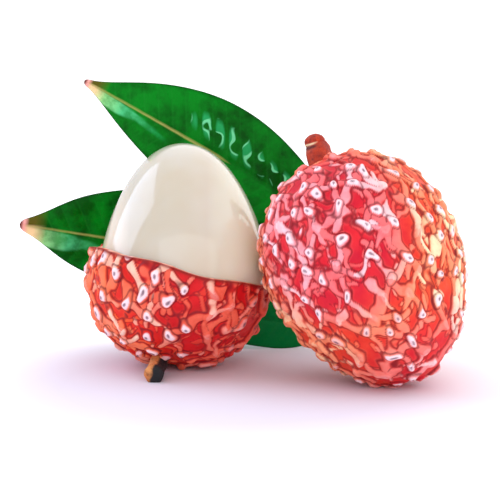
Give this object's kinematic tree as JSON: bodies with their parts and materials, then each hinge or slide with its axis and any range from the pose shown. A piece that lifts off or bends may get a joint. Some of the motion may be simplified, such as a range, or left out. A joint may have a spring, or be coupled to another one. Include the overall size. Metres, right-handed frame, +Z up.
{
  "type": "bunch of lychees",
  "caption": "A whole lychee on its leafy stalk, and a second one peeled to its lower half so that the pale flesh stands out of a cup of red bumpy skin",
  "frame": {"origin": "middle of the footprint's bounding box, on the surface that the bunch rests on", "axes": "+Z up; the side that the picture shows faces -Y; the peeled lychee and the leaves' tips lie towards -X, the whole lychee towards +X"},
  "size_m": [0.0718, 0.0516, 0.0452],
  "materials": {
    "rind": "satin, bumpy red rind with paler ridges and beads",
    "flesh": "wet, translucent, pale cream",
    "bark": "matt brown bark",
    "leaf": "waxy dark green, glossy above"
  },
  "bodies": {
    "root": {"whole_lychee": "rind", "peeled_lychee_skin": "rind", "peeled_lychee_flesh": "flesh", "peeled_lychee_stalk": "bark", "bunch_stalk": "bark", "leaf_upper": "leaf", "leaf_left": "leaf", "leaf_low": "leaf"}
  },
  "joints": []
}
